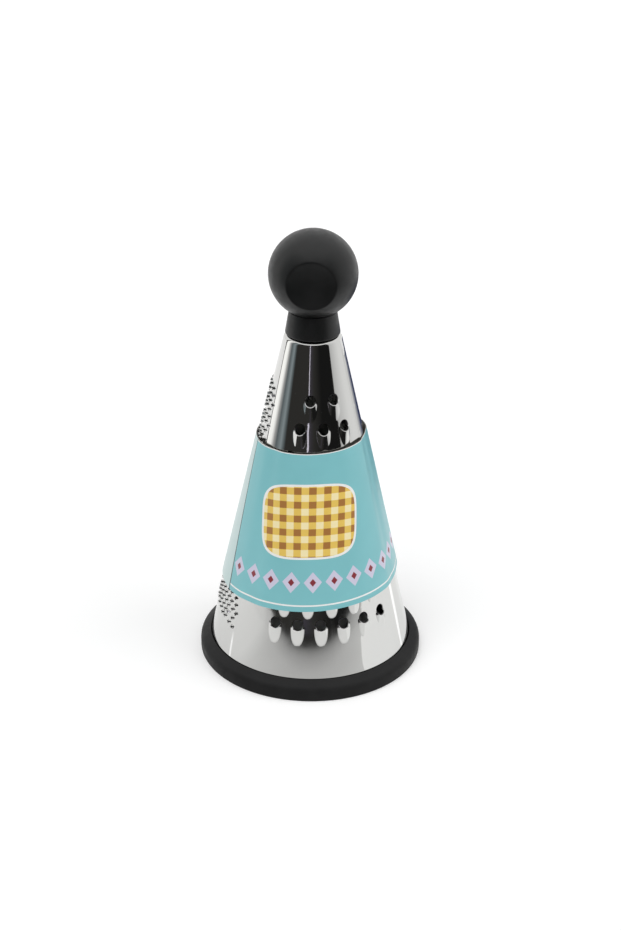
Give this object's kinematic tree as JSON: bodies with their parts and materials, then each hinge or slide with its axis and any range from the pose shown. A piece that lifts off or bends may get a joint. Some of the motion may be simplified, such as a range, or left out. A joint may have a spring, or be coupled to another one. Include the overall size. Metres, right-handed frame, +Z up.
{
  "type": "cone grater",
  "caption": "Free-standing steel cone grater with coarse teeth, fine points and slicing slots, a rubber foot ring, a ball knob and a card sleeve that lifts off.",
  "frame": {"origin": "on the table, at the centre of the rubber foot ring's underside, on the cone's axis", "axes": "+Z up along the cone's axis to the ball knob, -Y towards the middle of the coarse teeth, +X to the right of the coarse teeth as they are faced"},
  "size_m": [0.115, 0.115, 0.2286],
  "materials": {
    "polished_steel": "mirror polished stainless sheet",
    "black_rubber": "matte black rubber",
    "soft_black": "satin soft-touch black",
    "black_plastic": "moulded black plastic",
    "brass": "turned brass",
    "zinc_steel": "zinc plated",
    "printed_card": "glossy laminated card"
  },
  "bodies": {
    "grater": {"grater_cone": "polished_steel", "base_ring": "black_rubber", "neck_collar": "soft_black", "knob_core": "black_plastic", "knob_grip": "soft_black", "knob_insert": "brass", "clamp_plate": "black_plastic", "flat_washer": "zinc_steel", "lock_washer": "zinc_steel", "knob_screw": "zinc_steel"},
    "sleeve": {"card_sleeve": "printed_card"}
  },
  "joints": [
    {"name": "sleeve_lift", "type": "slide", "parent": "grater", "child": "sleeve", "axis": [0, 0, 1], "range_m": [0, 0.19]}
  ]
}
